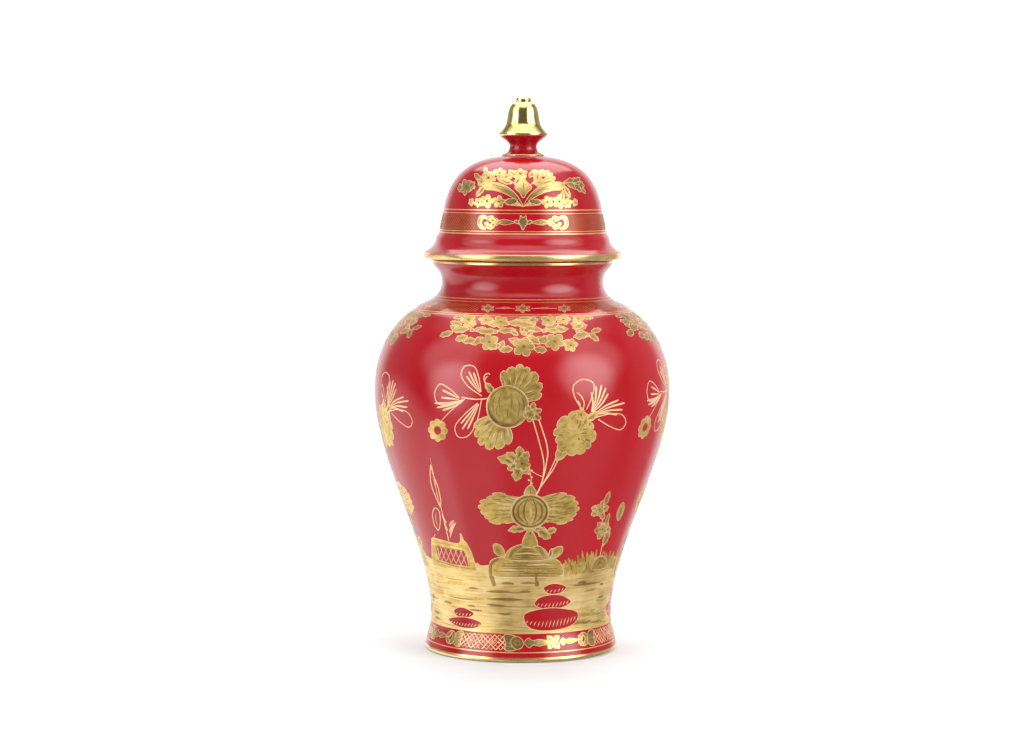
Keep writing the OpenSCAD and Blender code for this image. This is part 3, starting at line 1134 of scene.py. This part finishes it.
def mound(sheet):
    """The rounded rock on a flat slab, in the middle of the ground."""
    top = sheet.spot(2.8, 57)
    # The slab, with a leg that curls down at its left
    top.shape(
        (-20.5, -4), (-20, -0.4), (-16.5, 1.6), (-9, 2.6), (0, 2.4), (10, 2.6), (16.5, 0.6), (19.6, -2.6),
        (20.6, -6.4), (19.5, -9.2), (8, -9.6), (-10, -9.8), (-17, -9.6), (-19, -8.6),
    )
    top.stroke(
        1.5, (-15.5, 1.2), (-19.2, -1.4), (-20.4, -5.5), (-19.8, -10.5), (-18.2, -15.2), kind=SHADE,
        shape=even,
    )
    top.dark(0.5, (-14.5, 0.9), (-18.6, -1.6), (-19.6, -5.6), (-19, -10))
    top.stroke(2, (-19.2, -9.5), (-18.6, -12.6), (-17.6, -15.2), kind=SHADE, shape=even)
    for y, x0, x1, width, kind in (
        (-1.6, -16, 16, 0.7, SHADE), (-3.4, -17.5, 10, 0.45, DARK), (-4.8, -14, 18, 0.8, SHADE),
        (-6.6, -18, 4, 0.5, DARK), (-7.8, -10, 19.5, 0.8, SHADE), (-9.4, -17, 19, 0.55, DARK),
        (-2.4, 2, 15, 0.5, PALE), (-5.8, -16, -3, 0.5, PALE),
    ):
        top.stroke(width, (x0, y), ((x0 + x1) / 2, y + 0.35), (x1, y - 0.3), kind=kind)
    top.stroke(1.3, (5.5, -7.2), (5.2, -10.5), (5.6, -14.2), kind=SHADE, shape=even)
    disc(top.near(5.6, -13.6), 1.3, SHADE, 0, 1.4)
    # The rounded rock
    top.shape(
        (-11.8, 1.2), (-11.6, 3.8), (-9.2, 7.4), (-5, 9.6), (0, 10.4), (5, 9.7), (9.4, 7.2), (11.8, 3.6),
        (12, 1), (6, 0.2), (0, 0), (-6, 0.2),
    )
    for y, half, width, kind in (
        (7, 4, 0.7, SHADE), (5.6, 6, 1.1, SHADE), (4.4, 6.6, 0.5, PALE), (3.2, 7.6, 1.2, SHADE),
        (2, 8.2, 0.5, DARK), (1, 9.5, 0.9, SHADE),
    ):
        top.stroke(width, (-half, y - 0.3), (0, y + 0.3), (half, y - 0.3), kind=kind)
    top.shade(1.2, (-9, 1.8), (-7.8, 5), (-4.6, 7.4))
    top.shade(1.2, (5.2, 7.2), (8.4, 4.6), (9.2, 1.8))
    top.dark(0.6, (-9.6, 1.6), (-8.8, 5), (-5.5, 8), (0, 9.1), (5.8, 8), (9.2, 5), (9.9, 1.6))
    for x, y, turn in ((-12.4, 2.8, 128), (13.6, 1.4, 48)):
        leaf = top.near(x, y, turn)
        leaf.shape(
            (0, 0), (2.2, 2.6), (5.4, 2.9), (8.4, 1.2), (9.2, -0.4), (6.6, -2.4), (3, -2.2), (0.6, -1)
        )
        leaf.dark(0.3, (1, 0), (4, 0.3), (7.5, 0))
        leaf.shade(0.9, (2.5, 0.9), (4.5, 1.2), (6.5, 0.8))
    petal(top.near(12.4, 1.6, 75), 6, 2.6)


def rocks_here(sheet, places, lined=True):
    """Rocks at angle, height, width and height. One that reaches into the next sheet is bare there too."""
    for phi, z, w, h in places:
        rock(sheet.spot(phi, z), w, h, lined)


def fence(sheet):
    """A low basket fence with a reed and young shoots behind it."""
    foot = sheet.spot(-45.5, 52)
    reed = foot.near(-1, 15)
    reed.stroke(0.7, (2.4, 0), (0.6, 8), (-2, 20), (-4.6, 29), (-6.6, 42), (-8.4, 50), shape=tip)
    reed.cane(0.6, (-2.6, 20.5), (-4.8, 25), (-8.2, 33), (-8.8, 40), (-8.2, 46))
    reed.cane(0.6, (-2.6, 20.5), (-2, 25), (-3.6, 33), (-6.2, 39), (-8.2, 46))
    reed.stroke(0.3, (-3.2, 24), (-5.2, 32), (-7.2, 39))
    reed.cane(0.4, (-8.2, 3), (-9.8, 0.6), (-7.8, -1.6))
    reed.cane(
        0.6, (-5.6, 5.6), (-8.4, 9), (-9.2, 15), (-7, 19.5), (-3.8, 18), (-3.2, 12), (-4.4, 7), (-5.6, 5.6)
    )
    reed.stroke(0.5, (-5.4, 8), (-6.6, 12), (-6.2, 17))
    for x, y, turn, far in (
        (3, 5, 60, 8), (3.4, 2, 66, 11), (3.2, 9, 50, 5.5), (2.2, 6, 110, 7), (1.4, 11, 118, 6)
    ):
        reed.near(x, y, turn).stroke(1.1, (0, 0), (far * 0.5, 0.5), (far, 0))
    # The fence: a thick frame about a bare window with crossing canes
    foot.shape(
        (-15.2, -1), (-15, 4), (-13.6, 12.6), (-12, 15.4), (-4, 14.9), (8.4, 14.2), (9.6, 20.4),
        (11.6, 16.6), (14.2, 13.6), (17.2, 7), (19.2, -1), (16.4, -2), (0, -2), (-12, -2),
    )
    corners = (-10.2, 10.6), (11.4, 10), (13.2, 6.6), (15.4, 0.6), (3, 1), (-8, 2.2)
    window = [foot(x, y) for x, y in corners]
    sheet.fill(window, BARE, 0)
    sheet.line(window + window[:1], 0.3, SHADE)
    for k in range(7):
        x = -9.4 + 3.7 * k
        low = 1.6 if x < 4 else 0.9
        sheet.line([foot(x, 10.3), foot(min(x + 4.2, 14.6), low)], 0.34, PALE)
        sheet.line([foot(x + 1.6, 10.3), foot(max(x - 3, -8.2), low + 0.4)], 0.34, PALE)
    foot.shade(0.5, (-13, 12.8), (-3, 12.9), (8, 12), (12.4, 11.6))
    foot.shade(0.5, (-13, 0), (-12.4, 6), (-11.6, 11))
    foot.dark(0.45, (-15.6, 2), (-4, 0.8), (8, -0.4), (20, -0.8))


def plant(sheet):
    """A flowering shoot over tufts of grass and a stone."""
    foot = sheet.spot(47, 54)
    foot.cane(0.5, (1, 0), (2.8, 8), (4, 16), (2.2, 24), (-0.6, 31))
    petal(foot.near(3.6, 9.5, 62), 10.5, 5)
    foot.near(3.6, 9.5, 62).shade(0.9, (3, -0.8), (5.5, -1), (8, -0.4))
    for x, y, turns in ((2.6, 19.5, (0, 55, 130, 180, 235)), (-0.6, 32, (15, 70, 160, 200, 300))):
        for angle in turns:
            petal(foot.near(x, y, angle), 6.6, 4.4)
        blossom(foot.near(x - 0.4, y + 0.4), 3.6, 5)
    petals(foot, (2, 35, 66, 9, 3.6), (4.2, 22, 70, 8, 3))
    leaf = foot.near(15.5, 25, 72)
    leaf.shape((-1, 0), (1.5, 2.6), (5, 3), (9, 2.2), (10.4, 0), (8, -2.4), (4, -2.8), (0.6, -1.6))
    leaf.dark(0.8, (1, 0), (4, 0.3), (8, 0))
    # Grass in tufts along the top of the ground
    rng = sheet.rng
    for phi, half, tall, count in (
        (33, 7, 7.6, 11), (42, 6.5, 10, 11), (60.5, 7.5, 8.4, 11), (66, 3, 6, 5)
    ):
        for k in range(count):
            x = half * (2 * (k + 0.5) / count - 1)
            blade = sheet.spot(phi, 50.2).near(x, rng.uniform(-1.5, 0.5), 90 - 4 * x + rng.uniform(-14, 14))
            far = tall * rng.uniform(0.8, 1.2)
            blade.stroke(rng.uniform(2.8, 4.2), (-1, 0), (far * 0.5, 0.3), (far, 0), kind=GOLD, shape=tip)
            if k % 2:
                kind = SHADE if k % 3 else DARK
                blade.stroke(0.6, (-1, 0.4), (far * 0.4, 0.2), (far * 0.7, 0), kind=kind)
    stone = sheet.spot(50, 51.5)
    stone.shape(
        (-6.5, -1.6), (-6.2, 2.2), (-3, 5.2), (0.6, 5.8), (4, 4.9), (6.6, 1.6), (6.4, -1.6), (0, -2.4)
    )
    stone.shade(0.9, (-4.6, -0.6), (-3.6, 2.6), (0, 4.2), (3.4, 3), (4.6, 0))
    stone.dark(0.5, (-2, 0), (0, 2), (2.4, 0.2))


def base_band(sheet):
    """A quarter of the band at the foot: an ornament in the middle and half a lattice at each end."""
    low, high = 6.5, 15.0
    mid = (low + high) / 2
    side = sheet.side
    for first, last in ((-45, -30), (30, 45)):
        x0, x1 = sheet.at(first, mid).x, sheet.at(last, mid).x
        y0, y1 = side.up(low + 0.3), side.up(high - 0.3)
        for pitch, width in ((2.75, 0.3), (8.25, 0.55)):
            lattice(sheet, (x0, y0, x1, y1), pitch, width)
        for k in range(3):
            x = x0 + (x1 - x0) * (k + 0.5) / 3
            for dx, dy in ((0, 1.7), (1.7, 0), (0, -1.7), (-1.7, 0)):
                y = (y0 + y1) / 2
                sheet.line([(x + dx, y + dy), (x + dx * 0.35, y + dy * 0.35)], 0.35, PALE)
    dark_fan(sheet.spot(-26, mid), 7.4, 8.2)
    for phi, r, kind, edge in ((-22.5, 3.5, GOLD, 0.26), (-22.5, 2.1, SHADE, 0), (-22.2, 0.9, DARK, 0)):
        disc(sheet.spot(phi, mid), r, kind, edge)
    tapered_leaf(sheet.spot(-18, mid), 15.5, 5.4)
    blossom(sheet.spot(0, mid), 4.2, 4)
    for angle in (45, 135, 225, 315):
        petal(sheet.spot(0, mid, angle), 5, 3.2, vein=False)
    blossom(sheet.spot(0, mid), 1.9, 4)
    tapered_leaf(sheet.spot(4.2, mid), 12, 4.4)
    scroll(sheet.spot(23.5, mid, mirror=True), 5.6)
    dark_fan(sheet.spot(28, mid, mirror=True), 5.6, 8)
    for angle in (40, -40):
        petal(sheet.spot(17, mid, angle), 5.2, 2.8, vein=False)


def shoulder_band(sheet):
    """A quarter of the narrow band on the shoulder: small flowers on a thin stem between lattices."""
    low, high = 192.6, 197.0
    side = sheet.side
    mid = 194.8
    for first, last in ((-45, -26), (28, 45)):
        x0, x1 = sheet.at(first, mid).x, sheet.at(last, mid).x
        y0, y1 = side.up(low) + 0.5, side.up(high) - 0.5
        lattice(sheet, (x0, y0, x1, y1), 2.2, 0.2, SHADE)
    for phi, r in ((-20, 3.6), (0, 3.9), (24, 3.6)):
        spot = sheet.spot(phi, mid)
        for angle in range(30, 360, 60):
            petal(spot.near(0, 0, angle), r * 1.15, r * 0.62, vein=False)
        blossom(spot, r * 0.72, 5)
    for a, b in ((-15.5, -4.5), (4.5, 19.5)):
        start, end = sheet.at(a, mid), sheet.at(b, mid)
        middle = (start + end) / 2
        sheet.curl([start, middle + Vector((0, 0.4)), end], 0.42)
        petal(Spot(sheet, middle).near(-2.4, 0.2, 8), 5, 1.9, vein=False)


def garland(sheet):
    """The spray of flowers that hangs from the shoulder, one in each quarter."""
    for phi, z, turn, far, wide in (
        (-32, 180.4, 200, 9, 4.2), (-29, 181, 150, 7, 3.6), (-24.5, 182.4, 188, 11, 4.6),
        (-22, 181.4, 20, 7, 3.6), (-11, 181.2, 178, 12, 4.6), (-11, 181.6, 5, 10, 4.4),
        (-17, 178.2, 215, 8, 4.4), (-20, 176.8, 190, 8, 4.2), (-6, 177.6, -20, 9, 4.6),
        (-8, 176.6, 250, 6, 3.6), (9, 182, 170, 10, 4), (10, 182, 4, 13, 4.8), (6, 184.6, 172, 16, 5),
        (13, 178, 190, 12, 5.2), (16, 176, -12, 9, 5), (24, 182.4, 20, 8, 4), (24, 181.4, -24, 9, 4.2),
        (30, 180.2, -40, 8, 3.8), (31.5, 181, 10, 7, 3.4), (19, 181.4, 150, 7, 3.6), (0, 180.2, 95, 5, 3),
        (1, 179.2, 40, 5.5, 3), (-2, 179.4, 140, 5, 3), (-29, 184.4, 170, 8, 4.4), (-22, 185, 190, 8, 4.6),
        (-16, 184.6, 12, 8, 4.6), (-6, 185, 160, 8, 4.4), (9, 185, 20, 8, 4.4), (17, 185.2, 200, 8, 4.6),
        (23, 185.2, -8, 9, 4.6), (29, 184.6, 200, 7, 4), (-9, 174.6, 195, 8, 4.4), (7, 175.4, 150, 8, 4.6),
        (22, 178.4, 12, 9, 4.6), (-24, 178.6, 200, 8, 4.2), (4.5, 172.6, -10, 7, 4.2),
        (-4, 172.6, 190, 7, 4.2),
    ):
        petal(sheet.spot(phi, z + GARLAND_LIFT, turn), far, wide)
    for phi, z, r in (
        (-27, 187, 5), (-18, 187, 4.2), (-10.5, 186.2, 4.8), (4.5, 187.2, 3.4), (12.5, 187, 4.6),
        (20, 187.4, 4.4), (28, 187.6, 3.6), (-14, 175.8, 5.4), (0.4, 173.6, 6.2), (13.5, 176.2, 5.6),
        (20, 174.2, 4),
    ):
        blossom(sheet.spot(phi, z + GARLAND_LIFT), r)
    for phi, z, r in (
        (0.5, 180.6, 1.6), (-12, 181.2, 1.5), (9.5, 181.8, 1.5), (-23, 181.8, 1.4), (25, 181.6, 1.4)
    ):
        blossom(sheet.spot(phi, z + GARLAND_LIFT), r, 4)
    for phi, z, turn, far in ((-31, 188, 185, 6), (31, 188.2, -6, 7), (-3.5, 187.6, 8, 9)):
        petal(sheet.spot(phi, z + GARLAND_LIFT, turn), far, 2.6)


def lid_band(sheet):
    """Half of the lid's band: a bud between leaves and scrolls, and half a lattice at each end."""
    low, high = 236.9, 245.2
    side = sheet.side
    mid = (low + high) / 2
    for first, last in ((-90, -35), (35, 90)):
        x0, x1 = sheet.at(first, mid).x, sheet.at(last, mid).x
        lattice(sheet, (x0, side.up(low), x1, side.up(high)), 2.1, 0.24, SHADE)
    bud = sheet.spot(0, mid, 90)
    bud.shape(
        (-4, 0.2), (-1.6, 1.4), (0, 2.8), (2, 1.8), (4, 1.4), (2.8, 0), (4, -1.4), (2, -1.8), (0, -2.8),
        (-1.6, -1.4),
    )
    bud.dark(0.7, (-2.2, 0), (0.6, 0.2), (2.6, 0))
    petals(bud, (-0.4, 2, 62, 3.2, 2), (-0.4, -2, -62, 3.2, 2), vein=False)
    for mirror in (False, True):
        half = sheet.spot(0, mid, mirror=mirror)
        tapered_leaf(half.near(17.2, 0.3, 180), 12.6, 4.4)
        petals(half, (15.4, 0.6, 25, 4.6, 3), (15.4, -0.6, -25, 4.6, 3))
        curlback = half.near(24.4, 0, 180)
        scroll(curlback, 6)
        petals(curlback, (3.4, 1.6, 20, 4.6, 2.8), (3.4, -1.8, -16, 5, 2.8), vein=False)


def bouquet(sheet):
    """The spray of flowers on the lid, with leaves to both sides of it."""
    base = sheet.spot(0, BOUQUET_FOOT)
    for mirror in (False, True):
        half = sheet.spot(0, BOUQUET_FOOT, mirror=mirror)
        half.shape(
            (0.2, 0.4), (2.4, 2.6), (6, 5.6), (11, 8.2), (17, 9.8), (22, 10.2), (24.4, 13.4), (21, 15),
            (14, 14.2), (8.6, 11.8), (4.2, 7.8), (1.4, 3.6),
        )
        half.shade(1.2, (3, 4.4), (8.4, 9), (15, 11.3))
        half.dark(0.4, (6, 7.8), (12, 11.8), (19, 13.6))
        for y, far in ((1.6, 10), (3, 11), (4.4, 11.6)):
            half.stroke(0.5, (0.6, 0.8), (far * 0.5, y * 0.8), (far, y))
        half.cane(0.5, (1.2, 8.8), (4.4, 13.6), (7.4, 16))
        for x, y, r in ((20.6, 3.4, 4.2), (26, 2.6, 3), (13.6, 3.2, 3.6), (31, 2.8, 2.2)):
            blossom(half.near(x, y), r)
        petal(half.near(10.4, 3, 175), 7.5, 3.6)
    base.shape((0, 5.4), (2, 8.4), (4.6, 11.6), (2, 15), (0, 18), (-2, 15), (-4.6, 11.6), (-2, 8.4))
    base.shade(0.8, (0, 8), (0.2, 11.6), (0, 15))
    petals(
        base,
        (-6, 14, 160, 9, 4.2), (-4.6, 13, 60, 7, 3.6), (-3, 17.5, 130, 8, 4), (5, 14, 30, 10, 4.4),
        (3.4, 18, 60, 7, 4), (23.5, 14.8, 8, 12, 4.4), (25, 14.6, -22, 10, 3.6), (24, 12.4, -62, 8, 3.4),
        (-22.5, 12.2, -130, 8, 4), (31, 13.6, -35, 8, 3.6), (30, 15, 20, 8, 3.4), (23, 10, -95, 8, 3),
        (-25, 16, 140, 7, 3.6), (-16, 15.5, 110, 7, 3.4), (-22, 20.5, 100, 6, 3.2), (36, 12, -40, 6, 2.8),
    )
    for x, y, r in (
        (-20, 17.6, 5), (-13.4, 21.2, 4.2), (-24.6, 15, 3.4), (-1.6, 20.6, 4.4), (-9.4, 18.2, 3.2),
        (37.5, 13.2, 2.8), (-32, 12.4, 3.4), (-36.6, 11.6, 5.2), (-42, 11.2, 2.6),
    ):
        blossom(base.near(x, y), r)
    fan_leaf(base.near(6.4, 11.6, 52), 14.5, 44, 6, narrow=0.8, foot=2)
    disc(base.near(11.2, 17.8), 0.9, BARE, 0)
    disc(base.near(-15.5, 18.6), 0.8, BARE, 0)


def sprig(sheet):
    """A slim upright sprig on each side of the lid, between the two bouquets."""
    base = sheet.spot(0, 250)
    base.cane(0.55, (0, 0), (0.5, 7), (0, 15))
    for y, angle, far in (
        (1.5, 38, 7), (2, 142, 7), (6, 44, 6.4), (6.6, 136, 6.4), (10.5, 50, 5), (11, 130, 5)
    ):
        petal(base.near(0.2, y, angle), far, 3.4)
    blossom(base.near(0, 17), 4.4)


def ring_line(side, z, width):
    """The outline of a fine line of paint right round a piece, rounded on top."""
    s = side.up(z)
    top, bottom = [], []
    for k in range(5):
        radius, height, out = side.place(s + width * (k / 4 - 0.5))
        edge = Vector((radius * MM, height * MM))
        bulge = (1 - (k / 2 - 1) ** 2) * 0.5
        top.append(edge - out * (SKIN * 0.4 * (1 - bulge)))
        bottom.append(edge - out * SKIN)
    return top + bottom[::-1]


def gold_lines(name, body, side, lines):
    """Fine gold lines right round a piece, as one object; lines are (height, width) in mm."""
    verts, faces = [], []
    for z, width in lines:
        turned(ring_line(side, z, width), True, verts, faces)
    new_object(name, solid_mesh(name, verts, faces), body, "gilding", [LINE_GOLD])


# Rocks left bare in the ground: angle, height, width and height of each stone
GARDEN_ROCKS = ((20, 40.6, 13.4, 6.4), (19.4, 33, 21.5, 8.6), (19.2, 23.4, 32.5, 12.8))
HIDDEN_ROCKS = ((-5, 41, 14, 6.6), (-7, 33.6, 21, 8.8), (-4, 24, 31, 12.6))
FENCE_ROCKS = ((-39, 25.4, 14.6, 5.8), (-38.5, 19.9, 24, 6.2))


def painted(side, phi, seed, name, body, paints, *parts):
    """One painted piece: its parts drawn in order on a sheet, and wrapped round."""
    sheet = Sheet(side, phi, seed)
    for part, *settings in parts:
        part(sheet, *settings)
    sheet.build(name, body, paints)


for k in range(4):
    rocks = HIDDEN_ROCKS if k % 2 else GARDEN_ROCKS
    painted(
        JAR_SIDE, 90 * k, 11 + k, "jar_garden_%d" % (k + 1), "jar", PAINTS,
        (ground, (-22, 28)), (rocks_here, rocks), (mound,), (garden,),
    )
    painted(JAR_SIDE, 90 * k + 20, 51 + k, "jar_base_band_%d" % (k + 1), "jar", BAND_PAINTS, (base_band,))
    painted(
        JAR_SIDE, 90 * k, 61 + k, "jar_shoulder_%d" % (k + 1), "jar", DIM_PAINTS,
        (shoulder_band,), (garland,),
    )
for k in (0, 1):
    painted(
        JAR_SIDE, 180 * k, 31 + k, "jar_fence_%d" % (k + 1), "jar", PAINTS,
        (ground, (-62, -22)), (rocks_here, FENCE_ROCKS), (fence,),
    )
    painted(
        JAR_SIDE, 180 * k, 41 + k, "jar_plant_%d" % (k + 1), "jar", PAINTS,
        (ground, (28, 68)), (rocks_here, GARDEN_ROCKS, False), (plant,),
    )
    for first, seed, name, part in (
        (0, 71, "band", lid_band), (0, 81, "bouquet", bouquet), (90, 91, "sprig", sprig)
    ):
        name = "lid_%s_%d" % (name, k + 1)
        painted(LID_SIDE, 180 * k + first, seed + k, name, "lid", BAND_PAINTS, (part,))

gold_lines(
    "jar_gold_lines", "jar", JAR_SIDE, ((5.5, 0.55), (191, 0.5), (191.9, 0.4), (197.8, 0.4), (199.2, 0.5))
)
gold_lines("knob_gold_lines", "lid", KNOB_SIDE, ((278.15, 0.6),))
gold_lines(
    "lid_gold_lines", "lid", LID_SIDE, ((234.9, 0.7), (236.2, 0.4), (246, 0.4), (247.8, 0.5), (276.6, 0.7))
)


# ---------------------------------------------------------------- camera, light and floor

# The camera, as fitted to the photograph: metres, and angles from level
DISTANCE = 1.519
ASIDE = -0.0057
EYE = 0.2724
TILT = radians(4.363)
ROLL = radians(0.25)
SENSOR = 36
FOCAL = 2700 / 1024 * SENSOR  # 2700 pixels, where the picture is 1024 wide

camera = bpy.data.objects.new("camera", bpy.data.cameras.new("camera"))
camera.data.sensor_width = SENSOR
camera.data.lens = FOCAL
camera.data.clip_end = 20
camera.matrix_world = (
    Matrix.Translation((ASIDE, -DISTANCE, EYE))
    @ Matrix.Rotation(radians(90) - TILT, 4, "X")
    @ Matrix.Rotation(ROLL, 4, "Z")
)
scene.collection.objects.link(camera)
scene.camera = camera

BOX_UP = radians(62)  # above level, behind the jar
BOX_AWAY = 1.6
BOX_SIZES = (1.6, 1.2)
BOX_POWER = 16
JAR_MIDDLE = Vector((0, 0, 0.16))


def lamp(name, kind, power):
    """A light, and the object that carries it."""
    light = bpy.data.lights.new(name, kind)
    light.energy = power
    obj = bpy.data.objects.new(name, light)
    scene.collection.objects.link(obj)
    return obj, light


def back_box():
    """A rectangular softbox high behind the jar."""
    obj, light = lamp("back_box", "AREA", BOX_POWER)
    light.shape = "RECTANGLE"
    light.size, light.size_y = BOX_SIZES
    out = Vector((0, cos(BOX_UP), sin(BOX_UP)))
    obj.location = JAR_MIDDLE + out * BOX_AWAY
    obj.rotation_euler = out.to_track_quat("Z", "Y").to_euler()


back_box()

AMBIENT = 0.13  # brightness of the studio where there is no patch

# Soft patches of the studio that the glaze reflects: direction, half width and softness in degrees,
# and brightness
PATCHES = [
    ((0, 1, 0), 25, 22, 0.98),
    ((-0.8, 0.6, 0.12), 16, 24, 0.2),
    ((0.8, 0.6, 0.12), 16, 24, 0.25),
    ((-0.82, -0.55, 0.14), 5, 21, 3.5),
    ((0.77, -0.56, 0.30), 7, 21, 4.0),
    ((-0.86, -0.36, 0.62), 10, 20, 1.6),
    ((0.86, -0.36, 0.62), 10, 20, 1.6),
    ((0, 0, 1), 22, 30, 1.3),
    ((0, -0.42, 0.91), 8, 16, 0.7),
    ((0, 0, -1), 10, 70, 0.30),
    ((-0.72, -0.52, -0.58), 16, 20, 0.6),
    ((-0.76, 0.34, -0.55), 27, 14, 1.05),
    ((0.8, -0.5, -0.3), 6, 30, 0.35),
]


def studio():
    """A white backdrop to the eye, with soft patches in it for light and reflections."""
    world = bpy.data.worlds.new("studio")
    scene.world = world
    world.use_nodes = True
    add = maker(world.node_tree)
    towards = add("TexCoord").outputs["Generated"]
    total = add("LightPath").outputs["Is Camera Ray"]
    for direction, width, soft, bright in PATCHES:
        aim = Vector(direction).normalized()
        facing = add("VectorMath", {0: towards, 1: aim}, operation="DOT_PRODUCT").outputs["Value"]
        reach = {
            "Value": facing,
            "From Min": cos(radians(width + soft)),
            "From Max": cos(radians(width)),
            "To Max": bright,
        }
        patch = add("MapRange", reach, interpolation_type="SMOOTHSTEP").outputs["Result"]
        total = add("Math", {0: patch, 1: total}).outputs[0]
    lit = add("Math", {0: total, 1: AMBIENT}).outputs[0]
    feed(world.node_tree, world.node_tree.nodes["Background"], {"Strength": lit, "Color": (1, 1, 1, 1)})


studio()


FLOOR_RADIUS = 12
FLOOR_DROP = 0.0002  # keeps it clear of the foot
FLOOR_COLOURS = ((0.765, 0.79, 0.815), (0.785, 0.81, 0.835))
SUN_POWER = 0.3
SUN_WIDTH = radians(150)


def floor_piece():
    """A wide pale floor under the foot, with an even light of its own so that it stays white."""
    bm = bmesh.new()
    bmesh.ops.create_circle(bm, cap_ends=True, segments=96, radius=FLOOR_RADIUS)
    mesh = bpy.data.meshes.new("floor")
    bm.to_mesh(mesh)
    bm.free()
    obj = bpy.data.objects.new("floor", mesh)
    obj.location.z = -FLOOR_DROP
    m, add = material("floor_paper")
    look = {"Base Color": ramp(add, noise(add, 40, 2), (0.3, 0.7), FLOOR_COLOURS), "Roughness": 0.9}
    mesh.materials.append(surfaced(m, add, look))
    scene.collection.objects.link(obj)
    obj.visible_glossy = False
    only = bpy.data.collections.new("floor_only")
    only.objects.link(obj)
    sun, light = lamp("floor_light", "SUN", SUN_POWER)
    light.angle = SUN_WIDTH
    sun.light_linking.receiver_collection = only


floor_piece()
scene.view_settings.view_transform = "Standard"
